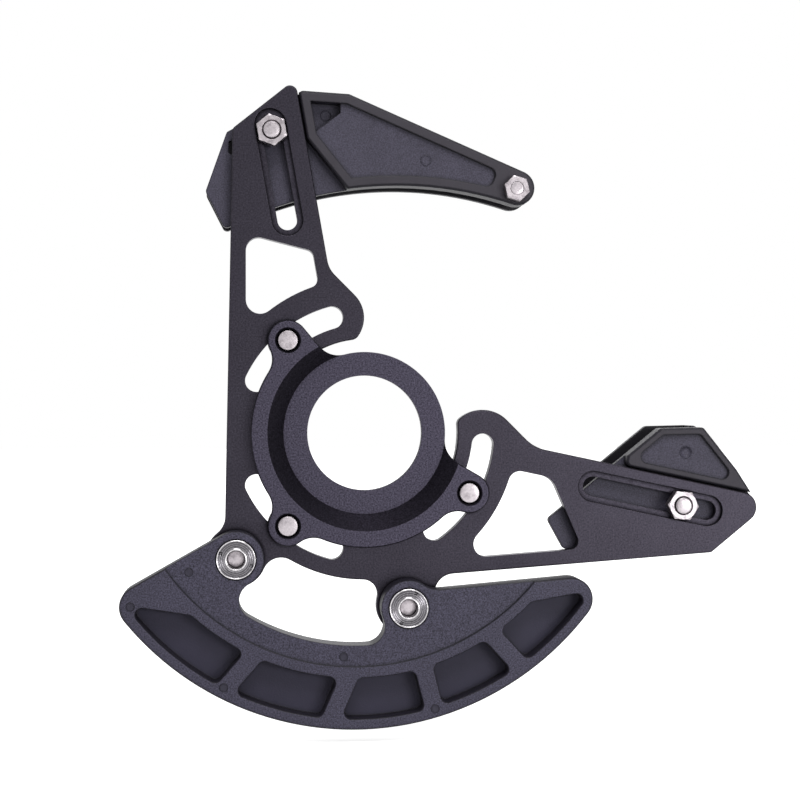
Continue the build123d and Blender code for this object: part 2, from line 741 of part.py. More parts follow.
tip_hole_radius = tip_bolt_diameter / 2 + bolt_hole_clearance
guide_hole_radius = guide_bolt_diameter / 2 + bolt_hole_clearance
with BuildPart() as upper_guide_inner:
    slab(upper_outline.sketch, depth_base, depth_channel)
    slab(upper_cage.sketch, 0, depth_base)
    chamfer(upper_guide_inner.faces().sort_by(Axis.Y)[0].outer_wire().edges(), guide_edge_round)
    slab(upper_panel.sketch, 0, panel_depth, Mode.SUBTRACT)
    slab(upper_pocket.sketch, 0, upper_pocket_depth, Mode.SUBTRACT)
    slab(upper_slit_outline.sketch, depth_base, depth_channel, Mode.SUBTRACT)
    slab(disc(tip_hole_radius, [upper_tip_bolt_place]), 0, depth_channel, Mode.SUBTRACT)
    slab(disc(guide_hole_radius, [upper_bolt]), depth_base, depth_channel, Mode.SUBTRACT)
keep(upper_guide_inner, "upper_guide_inner")

# The outer half closes the channel along its crest and carries the clamp bolt's boss
with BuildSketch() as upper_spine:
    add(upper_outline.sketch)
    with BuildSketch(mode=Mode.SUBTRACT):
        add(upper_outline.sketch)
        offset(amount=-spine_wall)
    Polygon(
        upper_left_top,
        polar(-upper_spine_end, upper_slope_angle, upper_slope_touch),
        (far_away, upper_slope_touch[1]),
        (far_away, -far_away),
        (-far_away, -far_away),
        (-far_away, upper_left_top[1]),
        mode=Mode.SUBTRACT,
    )

with BuildPart() as upper_guide_outer:
    slab(upper_outline.sketch, depth_outer, depth_back)
    chamfer(upper_guide_outer.faces().sort_by(Axis.Y)[-1].outer_wire().edges(), guide_edge_round)
    slab(upper_spine.sketch, depth_channel, depth_outer)
    slab(disc(guide_boss_radius, [upper_bolt]), depth_channel, depth_outer)
    slab(disc(tip_hole_radius, [upper_tip_bolt_place]), depth_outer, depth_back, Mode.SUBTRACT)
    slab(disc(guide_hole_radius, [upper_bolt]), depth_channel, depth_back, Mode.SUBTRACT)
keep(upper_guide_outer, "upper_guide_outer")


# Lower guide: the mouth is the long straight edge that faces the chainring
lower_left = beside(lower_bolt, lower_left_from_bolt)
lower_mouth_top = beside(lower_bolt, (0.0, lower_mouth_top_rise))
lower_crest = beside(lower_bolt, lower_crest_from_bolt)
lower_corners = [
    lower_left,
    meet(lower_left, lower_mouth_slope, lower_mouth_top, 0),
    lower_crest,
    beside(lower_bolt, lower_right_knee_from_bolt),
    beside(lower_bolt, lower_right_from_bolt),
    beside(lower_bolt, lower_hidden_right_from_bolt),
    beside(lower_bolt, lower_hidden_corner_from_bolt),
    beside(lower_bolt, lower_foot_from_bolt),
]
with BuildSketch() as lower_outline:
    Polygon(*lower_corners)
    round_corners(lower_outline, lower_corners, lower_corner_round)

above_arm = polar(arm_gap, 90 - lower_arm_drop, lower_edge_point)
cage_corner = polar(lower_cage_start, -lower_arm_drop, above_arm)
with BuildSketch() as lower_cage:
    add(lower_outline.sketch)
    Polygon(
        polar(far_away, -lower_arm_drop, cage_corner),
        cage_corner,
        polar(far_away, 90 - lower_arm_drop, cage_corner),
        (-far_away, far_away),
        (-far_away, -far_away),
        (far_away, -far_away),
        mode=Mode.SUBTRACT,
    )
    round_corners(lower_cage, [cage_corner], lower_cage_round)

with BuildSketch() as lower_panel:
    add(lower_cage.sketch)
    offset(amount=-lower_panel_rim - lower_panel_round)
    offset(amount=lower_panel_round)

with BuildPart() as lower_guide_inner:
    slab(lower_outline.sketch, depth_base, depth_channel)
    slab(lower_cage.sketch, 0, depth_base)
    chamfer(lower_guide_inner.faces().sort_by(Axis.Y)[0].outer_wire().edges(), guide_edge_round)
    slab(lower_panel.sketch, 0, panel_depth, Mode.SUBTRACT)
    slab(disc(guide_hole_radius, [lower_bolt]), depth_base, depth_channel, Mode.SUBTRACT)
keep(lower_guide_inner, "lower_guide_inner")

lower_outer_start = lower_bolt[0] - lower_outer_lead
with BuildSketch() as lower_cover:
    with Locations((-lower_cover_shift, 0)):
        add(lower_outline.sketch)
    offset(amount=lower_outer_lip)
    Polygon(
        (lower_outer_start, far_away),
        (lower_outer_start, -far_away),
        (-far_away, -far_away),
        (-far_away, far_away),
        mode=Mode.SUBTRACT,
    )

with BuildSketch() as lower_spine:
    add(lower_cover.sketch)
    with BuildSketch(mode=Mode.SUBTRACT):
        add(lower_cover.sketch)
        offset(amount=-spine_wall)
    Polygon(
        (lower_crest[0] - spine_wall, far_away),
        (lower_crest[0] - spine_wall, -far_away),
        (-far_away, -far_away),
        (-far_away, far_away),
        mode=Mode.SUBTRACT,
    )

with BuildPart() as lower_guide_outer:
    slab(lower_cover.sketch, depth_outer, depth_back)
    chamfer(lower_guide_outer.faces().sort_by(Axis.Y)[-1].outer_wire().edges(), guide_edge_round)
    slab(lower_spine.sketch, depth_channel, depth_outer)
    slab(disc(guide_boss_radius, [lower_bolt]), depth_channel, depth_outer)
    slab(disc(guide_hole_radius, [lower_bolt]), depth_channel, depth_back, Mode.SUBTRACT)
keep(lower_guide_outer, "lower_guide_outer")


def button_bolts(places, seat, end, diameter, head_diameter, head_height, socket):
    """Button-head socket bolts whose heads face the chainring side."""
    with BuildPart() as bolts:
        slab(disc(diameter / 2, places), end, seat)
        slab(disc(head_diameter / 2, places), seat, seat + head_height)
        crowns = bolts.faces().sort_by(Axis.Y)[-len(places) :].edges()
        chamfer(crowns, head_height / 2)
        with BuildSketch(plane_at(seat + head_height)) as sockets:
            with Locations(*places):
                RegularPolygon(socket / 2, 6, major_radius=False)
        extrude(sockets.sketch, amount=head_height / 2, mode=Mode.SUBTRACT)
    return bolts


def washers(places, seat, diameter, bolt_diameter, thickness):
    """Flat washers that lie on a face at the given depth."""
    with BuildPart() as rings:
        slab(disc(diameter / 2, places), seat, seat + thickness)
        slab(disc(bolt_diameter / 2 + bolt_hole_clearance, places), seat, seat + thickness, Mode.SUBTRACT)
    return rings


def hex_nut(place, seat, flats, height, bolt_diameter, turn):
    """Hexagon nut on the frame side, with one corner at the given angle."""
    with BuildPart() as nut:
        with BuildSketch(plane_at(seat)) as hexagon:
            with Locations(Location(place, turn)):
                RegularPolygon(flats / 2, 6, major_radius=False)
        extrude(hexagon.sketch, amount=height)
        slab(disc(bolt_diameter / 2 + thread_clearance, [place]), seat - height, seat, Mode.SUBTRACT)
    return nut


# Clocking fasteners: bolts from the chainring side, through the slots into the lugs
clocking_seat = plate_thickness + clocking_washer_thickness
clocking_washers = washers(
    lugs, plate_thickness, clocking_washer_diameter, clocking_bolt_diameter, clocking_washer_thickness
)
keep(clocking_washers, "clocking_washers")
clocking_bolts = button_bolts(
    lugs,
    clocking_seat,
    depth_lug,
    clocking_bolt_diameter,
    clocking_head_diameter,
    clocking_head_height,
    clocking_socket,
)
keep(clocking_bolts, "clocking_bolts")

# Bash guard fasteners: flanged barrel nuts in the bosses, and bolts from behind the backplate
nut_face = depth_bash_boss + bash_nut_seat_depth
nut_front = nut_face - bash_nut_flange_thickness
with BuildPart() as bash_nuts:
    slab(disc(bash_nut_flange_diameter / 2, bosses), nut_front, nut_face)
    slab(disc(bash_nut_barrel_diameter / 2, bosses), nut_face, nut_face + bash_nut_barrel_length)
    pin_circle = bash_nut_flange_diameter / 2 - bash_nut_pin_inset
    pins = []
    for boss, angle in zip(bosses, bash_nut_pin_angles):
        pins += [polar(pin_circle, angle, boss), polar(-pin_circle, angle, boss)]
    pin_holes = disc(bash_nut_pin_diameter / 2, pins)
    slab(pin_holes, nut_front, nut_front + bash_nut_pin_depth, Mode.SUBTRACT)
    slab(
        disc(bash_bolt_diameter / 2 + thread_clearance, bosses),
        nut_front,
        nut_face + bash_nut_barrel_length,
        Mode.SUBTRACT,
    )
keep(bash_nuts, "bash_nuts")
bash_bolts = button_bolts(
    bosses,
    plate_thickness,
    depth_bash_boss + bash_bolt_end_depth,
    bash_bolt_diameter,
    bash_head_diameter,
    bash_head_height,
    bash_socket,
)
keep(bash_bolts, "bash_bolts")

# Clamp fasteners of the two guides: the nut rides in the slot's recess
guide_seat = depth_back + guide_washer_thickness
for guide, bolt_place, nut_heading in (
    ("upper", upper_bolt, upper_slot_angle),
    ("lower", lower_bolt, lower_nut_turn - lower_arm_drop),
):
    clamp_washer = washers(
        [bolt_place], depth_back, guide_washer_diameter, guide_bolt_diameter, guide_washer_thickness
    )
    keep(clamp_washer, f"{guide}_clamp_washer")
    clamp_nut = hex_nut(
        bolt_place, nut_recess_depth, guide_nut_flats, guide_nut_height, guide_bolt_diameter, nut_heading
    )
    keep(clamp_nut, f"{guide}_clamp_nut")
    clamp_bolt = button_bolts(
        [bolt_place],
        guide_seat,
        nut_recess_depth - guide_nut_height - bolt_end_proud,
        guide_bolt_diameter,
        guide_head_diameter,
        guide_head_height,
        guide_socket,
    )
    keep(clamp_bolt, f"{guide}_clamp_bolt")

# Tip fasteners of the upper guide: a spacer holds the channel open
with BuildPart() as upper_tip_spacer:
    slab(disc(tip_spacer_radius, [upper_tip_bolt_place]), depth_channel, depth_outer)
    slab(disc(tip_hole_radius, [upper_tip_bolt_place]), depth_channel, depth_outer, Mode.SUBTRACT)
keep(upper_tip_spacer, "upper_tip_spacer")
tip_heading = upper_slope_angle + tip_nut_turn
upper_tip_nut = hex_nut(
    upper_tip_bolt_place, 0, tip_nut_flats, tip_nut_height, tip_bolt_diameter, tip_heading
)
keep(upper_tip_nut, "upper_tip_nut")
upper_tip_bolt = button_bolts(
    [upper_tip_bolt_place],
    depth_back,
    -tip_nut_height,
    tip_bolt_diameter,
    tip_head_diameter,
    tip_head_height,
    tip_socket,
)
keep(upper_tip_bolt, "upper_tip_bolt")
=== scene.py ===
"""Looks of a bicycle chain guide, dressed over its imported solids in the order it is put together."""
import math

import bpy
import numpy as np
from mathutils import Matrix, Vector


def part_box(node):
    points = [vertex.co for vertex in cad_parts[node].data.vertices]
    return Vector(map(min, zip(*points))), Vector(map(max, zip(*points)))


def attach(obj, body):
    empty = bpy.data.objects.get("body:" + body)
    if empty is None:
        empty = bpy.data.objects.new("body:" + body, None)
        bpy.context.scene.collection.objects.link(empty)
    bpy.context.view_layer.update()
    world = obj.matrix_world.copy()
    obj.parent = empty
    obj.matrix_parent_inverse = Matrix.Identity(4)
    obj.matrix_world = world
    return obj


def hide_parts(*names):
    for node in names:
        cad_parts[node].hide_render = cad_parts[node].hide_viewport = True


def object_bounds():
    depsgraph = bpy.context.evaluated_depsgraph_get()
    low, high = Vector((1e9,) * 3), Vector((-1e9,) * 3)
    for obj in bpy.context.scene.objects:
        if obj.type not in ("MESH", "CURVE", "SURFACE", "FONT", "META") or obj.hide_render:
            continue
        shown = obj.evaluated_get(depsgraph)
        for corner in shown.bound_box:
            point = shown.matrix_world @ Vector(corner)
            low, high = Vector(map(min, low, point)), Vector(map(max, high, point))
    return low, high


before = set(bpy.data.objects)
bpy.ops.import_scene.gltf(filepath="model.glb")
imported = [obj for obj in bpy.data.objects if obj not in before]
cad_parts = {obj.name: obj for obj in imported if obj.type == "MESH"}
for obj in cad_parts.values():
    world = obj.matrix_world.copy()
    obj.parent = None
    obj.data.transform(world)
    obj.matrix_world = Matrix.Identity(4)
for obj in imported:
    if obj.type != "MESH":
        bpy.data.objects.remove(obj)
cad_low, cad_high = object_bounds()


# Bottom-bracket adapter
# A dished ring that the bottom-bracket cup clamps to the frame. It is turned and milled from
# aluminium and anodised black. Its flat faces look bead-blasted. Its cone and its sides are
# darker, partly for their turned finish and partly as painted shade where they lean away from
# the light; its edges carry a painted highlight, and its inner corners painted shade.
def new_group(name, inputs, outputs):
    """Empty shader node group with float inputs given by name and default, and named outputs."""
    group = bpy.data.node_groups.new(name, "ShaderNodeTree")
    for label, value in inputs:
        socket = group.interface.new_socket(label, in_out="INPUT", socket_type="NodeSocketFloat")
        socket.default_value = value
    for label, kind in outputs:
        group.interface.new_socket(label, in_out="OUTPUT", socket_type=kind)
    return group, group.nodes.new("NodeGroupInput"), group.nodes.new("NodeGroupOutput")


def math_node(tree, operation, first, second):
    """Math node in a tree whose two operands are sockets or plain numbers."""
    node = tree.nodes.new("ShaderNodeMath")
    node.operation = operation
    for index, operand in enumerate((first, second)):
        if isinstance(operand, (int, float)):
            node.inputs[index].default_value = operand
        else:
            tree.links.new(operand, node.inputs[index])
    return node.outputs[0]


def make_fine_grain():
    """Grain of a blasted or moulded face: noise on Object coordinates divided by the grain's size.
    Shade is 1 plus the noise's swing about its middle times the contrast; Height is the noise itself."""
    group, source, sink = new_group(
        "fine_grain",
        [("Grain size", 0.0005), ("Contrast", 0.3), ("Stretch", 1.0)],
        [("Shade", "NodeSocketFloat"), ("Height", "NodeSocketFloat")],
    )
    place = group.nodes.new("ShaderNodeTexCoord")
    per_grain = math_node(group, "DIVIDE", 1.0, source.outputs["Grain size"])
    along = math_node(group, "DIVIDE", per_grain, source.outputs["Stretch"])
    frequency = group.nodes.new("ShaderNodeCombineXYZ")
    group.links.new(per_grain, frequency.inputs["X"])
    group.links.new(per_grain, frequency.inputs["Y"])
    group.links.new(along, frequency.inputs["Z"])
    scaled = group.nodes.new("ShaderNodeVectorMath")
    scaled.operation = "MULTIPLY"
    group.links.new(place.outputs["Object"], scaled.inputs[0])
    group.links.new(frequency.outputs[0], scaled.inputs[1])
    noise = group.nodes.new("ShaderNodeTexNoise")
    noise.inputs["Scale"].default_value = 1.0
    noise.inputs["Detail"].default_value = 3.0
    noise.inputs["Roughness"].default_value = 0.6
    group.links.new(scaled.outputs[0], noise.inputs["Vector"])
    swing = math_node(group, "SUBTRACT", noise.outputs[0], 0.5)
    shade = math_node(group, "MULTIPLY", swing, source.outputs["Contrast"])
    group.links.new(math_node(group, "ADD", shade, 1.0), sink.inputs["Shade"])
    group.links.new(noise.outputs[0], sink.inputs["Height"])
    return group


def make_soft_edge():
    """Rounded-over edge: the Normal is averaged within a radius, and Edge grows with how far
    that average turns away from the true normal, so it is 0 on a flat and 1 on a sharp edge."""
    group, source, sink = new_group(
        "soft_edge",
        [("Radius", 0.0003)],
        [("Normal", "NodeSocketVector"), ("Edge", "NodeSocketFloat")],
    )
    rounded = group.nodes.new("ShaderNodeBevel")
    rounded.samples = 6
    group.links.new(source.outputs["Radius"], rounded.inputs["Radius"])
    surface = group.nodes.new("ShaderNodeNewGeometry")
    agree = group.nodes.new("ShaderNodeVectorMath")
    agree.operation = "DOT_PRODUCT"
    group.links.new(rounded.outputs[0], agree.inputs[0])
    group.links.new(surface.outputs["True Normal"], agree.inputs[1])
    turned = math_node(group, "SUBTRACT", 1.0, agree.outputs["Value"])
    steep = math_node(group, "MULTIPLY", turned, 4.0)
    group.links.new(math_node(group, "MINIMUM", steep, 1.0), sink.inputs["Edge"])
    group.links.new(rounded.outputs[0], sink.inputs["Normal"])
    return group


def make_painted_crevice_shade():
    """Painted shade in inner corners: Shade is 1 in the open, and falls by the strength times the
    share of a small half-dome over the surface that nearby faces close off, but not below a
    tenth."""
    group, source, sink = new_group(
        "painted_crevice_shade", [("Reach", 0.0015), ("Strength", 0.8)], [("Shade", "NodeSocketFloat")]
    )
    openness = group.nodes.new("ShaderNodeAmbientOcclusion")
    openness.samples = 8
    group.links.new(source.outputs["Reach"], openness.inputs["Distance"])
    closed = math_node(group, "SUBTRACT", 1.0, openness.outputs["AO"])
    loss = math_node(group, "MULTIPLY", closed, source.outputs["Strength"])
    left_over = math_node(group, "SUBTRACT", 1.0, loss)
    group.links.new(math_node(group, "MAXIMUM", left_over, 0.1), sink.inputs["Shade"])
    return group


def make_side_shade_mask():
    """Mask for painted shade on the sides of a flat piece: Sides is 0 on faces square to the depth
    axis, and rises to 1 as the normal leans away from it, from about 14 to 37 degrees."""
    group, source, sink = new_group("side_shade_mask", [], [("Sides", "NodeSocketFloat")])
    surface = group.nodes.new("ShaderNodeNewGeometry")
    parts = group.nodes.new("ShaderNodeSeparateXYZ")
    group.links.new(surface.outputs["Normal"], parts.inputs[0])
    lean = group.nodes.new("ShaderNodeMapRange")
    lean.inputs["From Min"].default_value = 0.97
    lean.inputs["From Max"].default_value = 0.80
    group.links.new(math_node(group, "ABSOLUTE", parts.outputs["Y"], 0.0), lean.inputs["Value"])
    group.links.new(lean.outputs[0], sink.inputs["Sides"])
    return group


fine_grain = make_fine_grain()
soft_edge = make_soft_edge()
painted_crevice_shade = make_painted_crevice_shade()
side_shade_mask = make_side_shade_mask()


def use_group(tree, group, **values):
    """Places a node group in a material's tree, with its inputs set by name."""
    node = tree.nodes.new("ShaderNodeGroup")
    node.node_tree = group
    for label, value in values.items():
        node.inputs[label.replace("_", " ")].default_value = value
    return node


def mix_colours(tree, mask, first, second):
    """Mix node between two colours, sockets or plain values, by a mask socket."""
    node = tree.nodes.new("ShaderNodeMix")
    node.data_type = "RGBA"
    tree.links.new(mask, node.inputs["Factor"])
    for label, colour in (("A", first), ("B", second)):
        socket = next(one for one in node.inputs if one.name == label and one.type == "RGBA")
        if isinstance(colour, tuple):
            socket.default_value = (*colour, 1.0)
        else:
            tree.links.new(colour, socket)
    return next(one for one in node.outputs if one.type == "RGBA")


def shaded(tree, colour, shade):
    """Colour socket multiplied by a value socket."""
    node = tree.nodes.new("ShaderNodeVectorMath")
    node.operation = "SCALE"
    tree.links.new(colour, node.inputs[0])
    tree.links.new(shade, node.inputs["Scale"])
    return node.outputs[0]


def new_finish(name, metallic, roughness):
    """Material with a Principled shader, its constant values on the sockets."""
    finish = bpy.data.materials.new(name)
    finish.use_nodes = True
    tree = finish.node_tree
    shader = tree.nodes["Principled BSDF"]
    shader.inputs["Metallic"].default_value = metallic
    shader.inputs["Roughness"].default_value = roughness
    return finish, tree, shader


def rough_face(tree, shader, grain, edge, bump):
    """Feeds the shader's normal with rounded edges and the grain's height on top."""
    relief = tree.nodes.new("ShaderNodeBump")
    relief.inputs["Strength"].default_value = bump
    relief.inputs["Distance"].default_value = 0.0002
    tree.links.new(grain.outputs["Height"], relief.inputs["Height"])
    tree.links.new(edge.outputs["Normal"], relief.inputs["Normal"])
    tree.links.new(relief.outputs[0], shader.inputs["Normal"])


def dress(finish, *names):
    """Gives CAD nodes a finish."""
    for name in names:
        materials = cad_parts[name].data.materials
        materials.clear()
        materials.append(finish)


blasted_colour = (0.0455, 0.0412, 0.0588)
turned_side_shade_colour = (0.0125, 0.0111, 0.0158)
edge_highlight_colour = (0.065, 0.060, 0.078)

blasted, blasted_tree, blasted_shader = new_finish("blasted_anodising", 1.0, 0.52)
blasted_grain = use_group(blasted_tree, fine_grain, Grain_size=0.0005, Contrast=2.8)
blasted_edge = use_group(blasted_tree, soft_edge, Radius=0.00025)
blasted_side_shade = use_group(blasted_tree, side_shade_mask)
# Painted highlight along the adapter's edges.
face_colour = mix_colours(blasted_tree, blasted_edge.outputs["Edge"], blasted_colour, edge_highlight_colour)
# Painted shade on the cone and sides, which are also darker for their turned finish.
face_colour = mix_colours(blasted_tree, blasted_side_shade.outputs["Sides"], face_colour, turned_side_shade_colour)
# Painted shade in the adapter's inner corners.
blasted_corner_shade = use_group(blasted_tree, painted_crevice_shade, Reach=0.0016, Strength=1.2)
for layer in (blasted_grain, blasted_corner_shade):
    face_colour = shaded(blasted_tree, face_colour, layer.outputs["Shade"])
blasted_tree.links.new(face_colour, blasted_shader.inputs["Base Color"])
rough_face(blasted_tree, blasted_shader, blasted_grain, blasted_edge, 0.25)
dress(blasted, "bb_adapter")


# Clocking bolts and washers
# Three button-head screws of bright zinc-plated steel. They pass through the plate's arc slots
# and are screwed into the adapter's lugs, where their ends show as small domed discs.
millimetre = 0.001


def turned_piece(name, places, stations, turn=0.0, ring=False, segments=144):
    """Surface of a turned or hexagonal piece. A station is a depth, a round radius and half the
    distance across flats: at each angle its radius is the smaller of the round radius and the
    hexagon's reach, half the flats over the cosine of the angle from the nearest flat's middle.
    Stations are joined by quads, and a ring's last one to its first; other ends close to a point."""
    depth, rounded, flats = (np.array(column, float) for column in zip(*stations))
    angles = np.linspace(0.0, 2.0 * math.pi, segments, endpoint=False)
    sixth = math.pi / 3.0
    reach = 1.0 / np.cos((angles - turn + sixth / 2.0) % sixth - sixth / 2.0)
    radius = np.minimum(rounded[:, None], flats[:, None] * reach[None, :])
    count = len(stations)
    steps = np.arange(count if ring else count - 1)
    here = np.arange(segments)
    beyond = (here + 1) % segments
    low = steps[:, None] * segments
    high = ((steps + 1) % count)[:, None] * segments
    quads = np.stack([low + here, high + here, high + beyond, low + beyond], axis=-1).reshape(-1, 4)
    size = count * segments
    rows, faces = [], []
    for index, (x, z) in enumerate(places):
        shell = np.empty((count, segments, 3))
        shell[..., 0] = x + radius * np.cos(angles)
        shell[..., 1] = depth[:, None]
        shell[..., 2] = z + radius * np.sin(angles)
        rows.append(shell.reshape(-1, 3))
        start = index * (size if ring else size + 2)
        faces += (quads + start).tolist()
        if not ring:
            rows.append(np.array([[x, depth[0], z], [x, depth[-1], z]]))
            first = np.full(segments, size)
            last = size - segments
            faces += (np.stack([first, here, beyond], axis=-1) + start).tolist()
            faces += (np.stack([first + 1, last + beyond, last + here], axis=-1) + start).tolist()
    mesh = bpy.data.meshes.new(name)
    mesh.from_pydata((np.concatenate(rows) * millimetre).tolist(), [], faces)
    mesh.polygons.foreach_set("use_smooth", np.ones(len(mesh.polygons), bool))
    mesh.set_sharp_from_angle(angle=math.radians(15.0))
    piece = bpy.data.objects.new(name, mesh)
    bpy.context.scene.collection.objects.link(piece)
    return piece


wide = 99.0


def bolt_stations(end, seat, top, shank, head, socket, blunt):
    """Stations of a button-head screw, in millimetres: an end domed over the blunt share of the
    shank's radius, a chamfer, the shank, a low rim under the crown, the crown as a quarter
    ellipse, and a hexagon socket half as deep as the head. Shank and head are radii."""
    height = top - seat
    rim = 0.22 * height
    lip = 0.5 * socket * 1.22
    sweep = np.linspace(0.0, 1.0, 9)
    crown_depth = seat + rim + (height - rim) * np.sin(sweep * math.pi / 2.0)
    crown_radius = head - (head - lip) * (1.0 - np.cos(sweep * math.pi / 2.0))
    flat = blunt * shank
    rows = [(end, 0.4 * flat, wide), (end + 0.04, 0.78 * flat, wide), (end + 0.12, flat, wide)]
    rows += [(end + 0.12 + shank - flat, shank, wide), (seat, shank, wide)]
    rows += [(seat, head - 0.1, wide), (seat + 0.1, head, wide)]
    rows += list(zip(crown_depth, crown_radius, np.full(len(sweep), wide)))
    rows += [(top - 0.02, wide, socket / 2.0), (top - height / 2.0, wide, socket / 2.0)]
    rows += [(top - height / 2.0 - 0.25, 0.1, wide)]
    return rows


def depths(node):
    """Lowest and highest depth of a CAD node, in millimetres."""
    low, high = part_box(node)
    return low.y / millimetre, high.y / millimetre


def middle(node):
    """Middle of a CAD node across the bottom-bracket axis, in millimetres."""
    low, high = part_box(node)
    return (low.x + high.x) / 2.0 / millimetre, (low.z + high.z) / 2.0 / millimetre


def place_at(radius, angle):
    """Point at a radius and an angle in degrees about the bottom-bracket axis."""
    return radius * math.cos(math.radians(angle)), radius * math.sin(math.radians(angle))


def band(tree, value, low, high, blur):
    """Mask that is 1 where a value lies between two limits, with soft shoulders."""
    rise = tree.nodes.new("ShaderNodeMapRange")
    rise.inputs["From Min"].default_value = low - blur
    rise.inputs["From Max"].default_value = low + blur
    fall = tree.nodes.new("ShaderNodeMapRange")
    fall.inputs["From Min"].default_value = high + blur
    fall.inputs["From Max"].default_value = high - blur
    tree.links.new(value, rise.inputs["Value"])
    tree.links.new(value, fall.inputs["Value"])
    return math_node(tree, "MULTIPLY", rise.outputs[0], fall.outputs[0])


zinc_colour = (0.40, 0.368, 0.388)
zinc_stain = (0.27, 0.245, 0.262)
zinc, zinc_tree, zinc_shader = new_finish("bright_zinc", 1.0, 0.36)
zinc_grain = use_group(zinc_tree, fine_grain, Grain_size=0.0006, Contrast=0.5)
zinc_edge = use_group(zinc_tree, soft_edge, Radius=0.00012)
zinc_patches = use_group(zinc_tree, fine_grain, Grain_size=0.0025, Contrast=1.0)
patch_mask = band(zinc_tree, zinc_patches.outputs["Height"], 0.56, 1.2, 0.08)
zinc_face = mix_colours(zinc_tree, patch_mask, zinc_colour, zinc_stain)
# Painted shade in the zinc parts' inner corners.
zinc_corner_shade = use_group(zinc_tree, painted_crevice_shade, Reach=0.0006, Strength=0.6)
for layer in (zinc_grain, zinc_corner_shade):
    zinc_face = shaded(zinc_tree, zinc_face, layer.outputs["Shade"])
zinc_tree.links.new(zinc_face, zinc_shader.inputs["Base Color"])
rough_face(zinc_tree, zinc_shader, zinc_grain, zinc_edge, 0.12)
dress(zinc, "clocking_washers")

lug_spacing = 56.0
lug_angles = (130.0, 230.0, 330.0)
half_lug_angle = math.radians((lug_angles[1] - lug_angles[0]) / 2.0)
lug_circle_radius = lug_spacing / 2.0 / math.sin(half_lug_angle)
lug_places = [place_at(lug_circle_radius, angle) for angle in lug_angles]
clocking_end, clocking_top = depths("clocking_bolts")
clocking_seat = depths("clocking_washers")[1]


def fit(piece, finish, slot, body, *nodes):
    """Gives a new piece its finish and puts it on a body in place of CAD nodes. The slot is not used."""
    piece.data.materials.append(finish)
    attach(piece, body)
    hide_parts(*nodes)


clocking_rows = bolt_stations(
    clocking_end, clocking_seat, clocking_top, shank=3.0, head=5.25, socket=4.0, blunt=0.94
)
clocking_screws = turned_piece("clocking_screws", lug_places, clocking_rows)
fit(clocking_screws, zinc, "zinc_steel", "adapter", "clocking_bolts")


# Backplate
# A flat plate, milled from aluminium sheet with two slotted arms and lightening windows, and
# anodised satin black. It turns on the adapter to set its angle, then the clocking bolts clamp it.
plate_colour = (0.0318, 0.0288, 0.038)
plate_edge_highlight_colour = (0.050, 0.045, 0.055)
satin, satin_tree, satin_shader = new_finish("satin_anodising", 1.0, 0.4)
satin_grain = use_group(satin_tree, fine_grain, Grain_size=0.0005, Contrast=1.8)
satin_streaks = use_group(satin_tree, fine_grain, Grain_size=0.0006, Contrast=0.15, Stretch=22.0)
satin_clouds = use_group(satin_tree, fine_grain, Grain_size=0.018, Contrast=0.35)
satin_edge = use_group(satin_tree, soft_edge, Radius=0.0003)
# Painted highlight along the plate's edges.
satin_face = mix_colours(satin_tree, satin_edge.outputs["Edge"], plate_colour, plate_edge_highlight_colour)
# Painted shade in the plate's inner corners.
satin_corner_shade = use_group(satin_tree, painted_crevice_shade, Reach=0.0012, Strength=1.6)
for layer in (satin_grain, satin_streaks, satin_clouds, satin_corner_shade):
    satin_face = shaded(satin_tree, satin_face, layer.outputs["Shade"])
satin_tree.links.new(satin_face, satin_shader.inputs["Base Color"])
rough_face(satin_tree, satin_shader, satin_grain, satin_edge, 0.1)


def joined_copy(name, nodes, faces_off):
    """One mesh from several CAD nodes that meet face to face. Corners in one place are merged,
    and a face is left out when all its corners lie on one of the planes, an axis and a place,
    where the nodes meet."""
    points, polygons = [], []
    for node in nodes:
        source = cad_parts[node].data
        coordinates = np.empty(3 * len(source.vertices))
        source.vertices.foreach_get("co", coordinates)
        start = sum(len(block) for block in points)
        points.append(coordinates.reshape(-1, 3))
        polygons += [[start + corner for corner in face.vertices] for face in source.polygons]
    everything = np.concatenate(points)
    merged, index = np.unique(np.round(everything, 7), axis=0, return_inverse=True)
    index = index.reshape(-1)
    kept = []
    for polygon in polygons:
        corners = everything[polygon]
        on_plane = any(np.all(np.abs(corners[:, axis] - place) < 1e-6) for axis, place in faces_off)
        if not on_plane:
            kept.append(index[polygon].tolist())
    mesh = bpy.data.meshes.new(name)
    mesh.from_pydata(merged.tolist(), [], kept)
    mesh.polygons.foreach_set("use_smooth", np.ones(len(mesh.polygons), bool))
    mesh.set_sharp_from_angle(angle=math.radians(28.0))
    piece = bpy.data.objects.new(name, mesh)
    bpy.context.scene.collection.objects.link(piece)
    return piece


plate_nodes = ["backplate_hub", "backplate_upper_arm", "backplate_lower_arm"]
upper_joint = (2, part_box("backplate_upper_arm")[0].z)
lower_joint = (0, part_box("backplate_lower_arm")[0].x)
plate = joined_copy("plate", plate_nodes, [upper_joint, lower_joint])
fit(plate, satin, "plate_anodised", "backplate", *plate_nodes)
